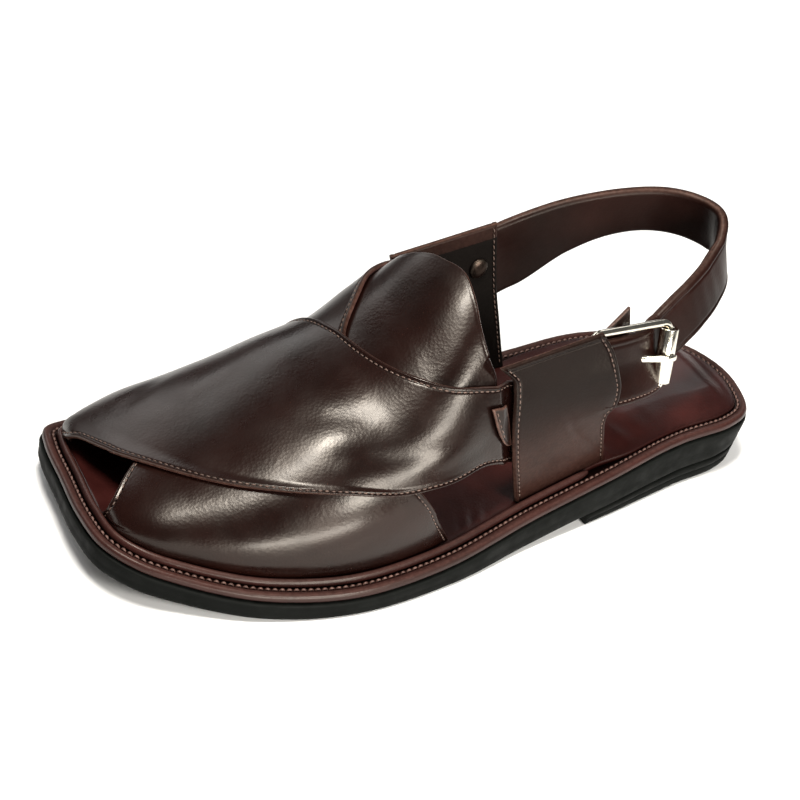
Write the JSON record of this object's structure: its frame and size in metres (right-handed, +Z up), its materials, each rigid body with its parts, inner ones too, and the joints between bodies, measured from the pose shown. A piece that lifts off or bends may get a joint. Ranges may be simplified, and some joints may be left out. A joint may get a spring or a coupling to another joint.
{
  "type": "chappal",
  "caption": "Left leather chappal: wide crossed forefoot straps, domed tongue, stitched welt rim, black rubber sole and an ankle strap with a roller buckle.",
  "frame": {"origin": "middle of the footprint on the floor", "axes": "+X from the toe to the heel, +Y to the medial side, +Z up"},
  "size_m": [0.289, 0.1196, 0.1017],
  "materials": {
    "rubber": "matt black rubber",
    "rim": "reddish brown leather, stitched",
    "insole": "glossy burgundy leather",
    "upper": "polished dark brown leather",
    "metal": "polished, pale champagne"
  },
  "bodies": {
    "root": {"outsole": "rubber", "heel": "rubber", "midsole": "rim", "piping": "rim", "insole": "insole", "upper": "upper", "tongue": "upper", "quarter_lateral": "upper", "quarter_medial": "upper", "side_tab": "upper", "back_strap": "upper", "buckle_guard": "upper", "buckle_frame": "metal", "buckle_roller": "metal", "buckle_prong": "metal", "rivet": "metal"}
  },
  "joints": []
}
